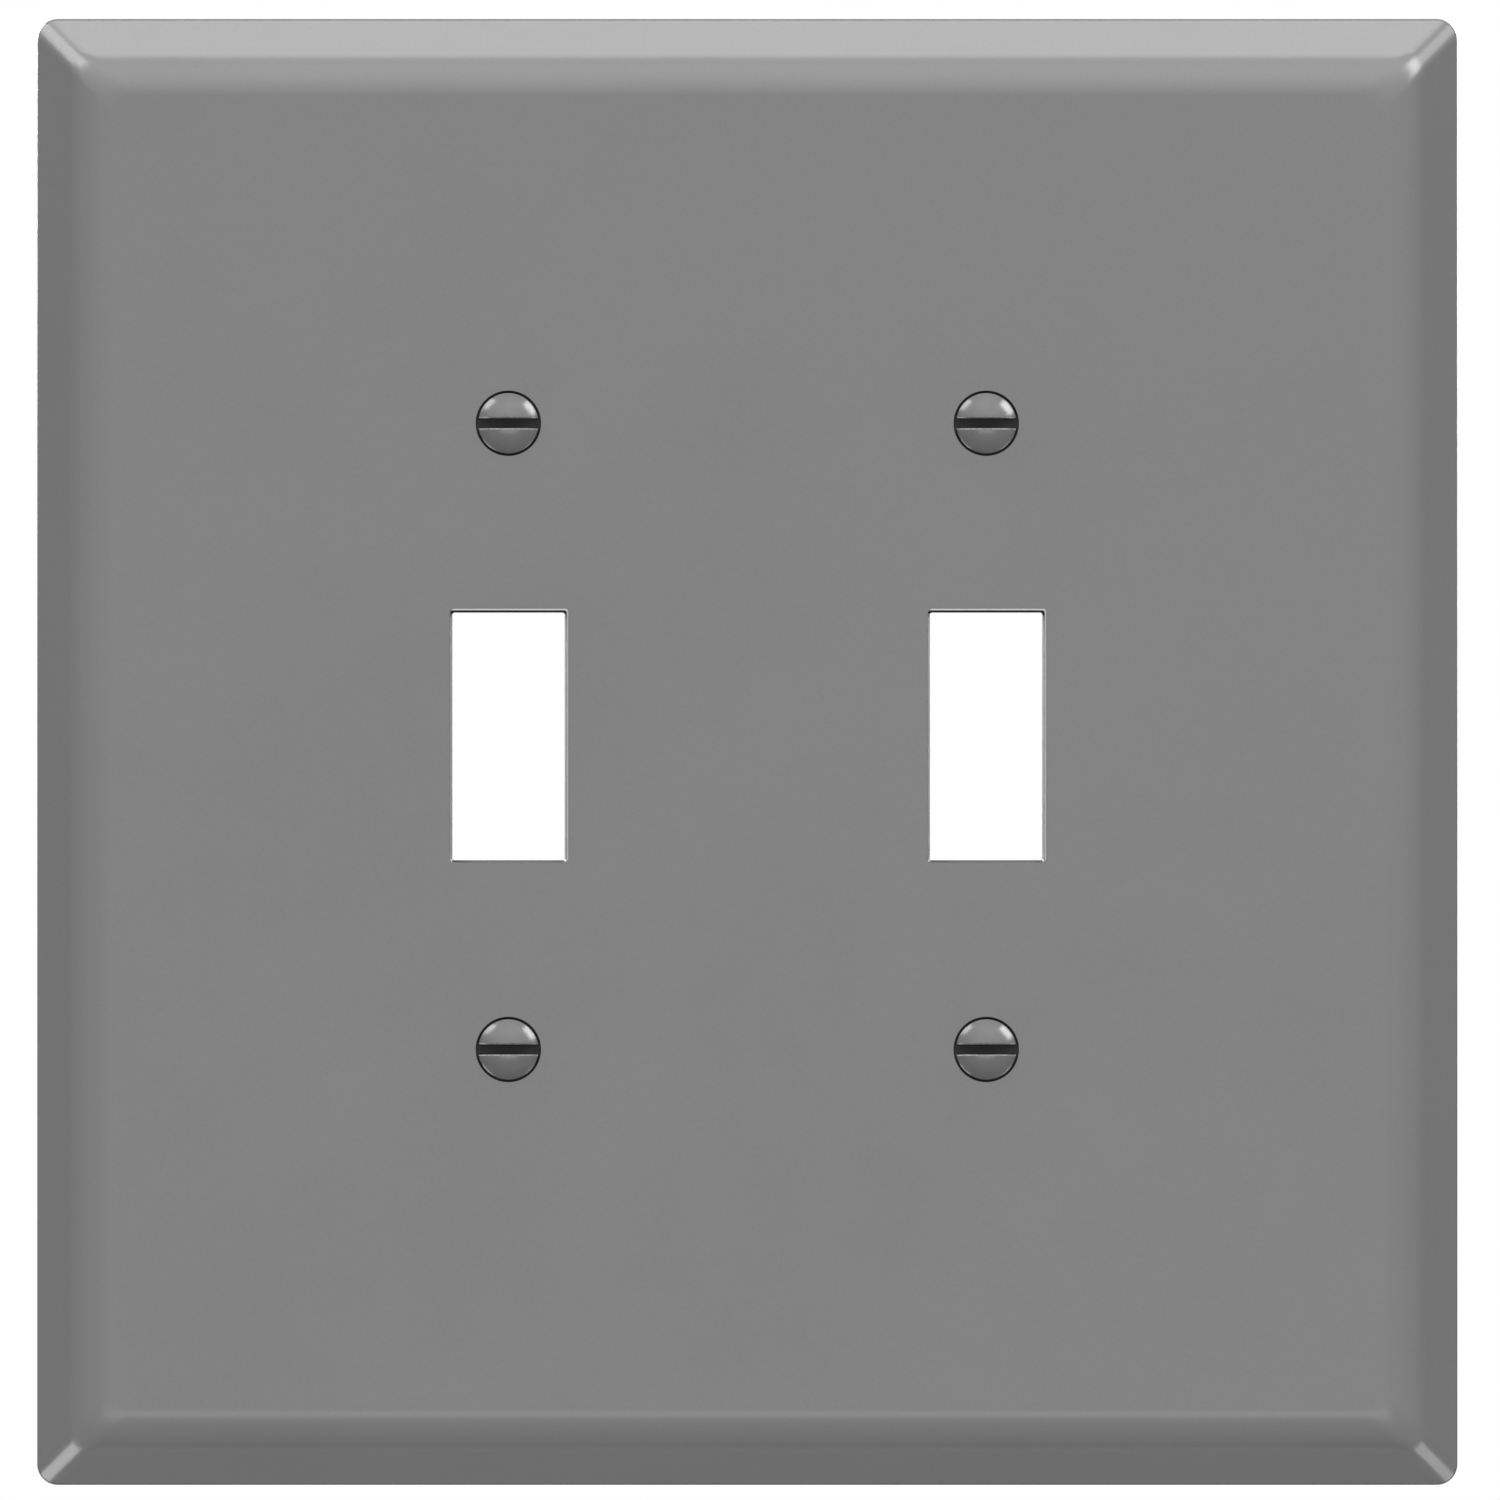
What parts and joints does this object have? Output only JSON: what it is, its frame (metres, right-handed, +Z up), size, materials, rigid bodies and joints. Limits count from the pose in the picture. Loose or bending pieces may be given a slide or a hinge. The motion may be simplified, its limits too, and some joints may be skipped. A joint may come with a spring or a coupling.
{
  "type": "toggle switch wall plate",
  "caption": "Oversize rectangular grey wall plate with a bevelled, hollow-backed edge, upright toggle openings side by side, and slotted oval-head mounting screws above and below each.",
  "frame": {"origin": "middle of the four-screw pattern, on the plane of the wall that the plate's rim rests on", "axes": "+X to the right seen from the front, +Z up, +Y into the wall; the front face looks towards -Y"},
  "size_m": [0.137, 0.0136, 0.1414],
  "materials": {
    "moulded_plastic": "satin",
    "enamelled_steel": "gloss"
  },
  "bodies": {
    "plate": {"wall_plate": "moulded_plastic"},
    "upper_left_screw": {"upper_left_screw": "enamelled_steel"},
    "upper_right_screw": {"upper_right_screw": "enamelled_steel"},
    "lower_left_screw": {"lower_left_screw": "enamelled_steel"},
    "lower_right_screw": {"lower_right_screw": "enamelled_steel"}
  },
  "joints": [
    {"name": "upper_left_screw_turn", "type": "hinge", "parent": "plate", "child": "upper_left_screw", "pos_m": [-0.02302, -0.0066, 0.03016], "axis": [0, 1, 0], "continuous": true},
    {"name": "upper_right_screw_turn", "type": "hinge", "parent": "plate", "child": "upper_right_screw", "pos_m": [0.02302, -0.0066, 0.03016], "axis": [0, 1, 0], "continuous": true},
    {"name": "lower_left_screw_turn", "type": "hinge", "parent": "plate", "child": "lower_left_screw", "pos_m": [-0.02302, -0.0066, -0.03016], "axis": [0, 1, 0], "continuous": true},
    {"name": "lower_right_screw_turn", "type": "hinge", "parent": "plate", "child": "lower_right_screw", "pos_m": [0.02302, -0.0066, -0.03016], "axis": [0, 1, 0], "continuous": true}
  ]
}
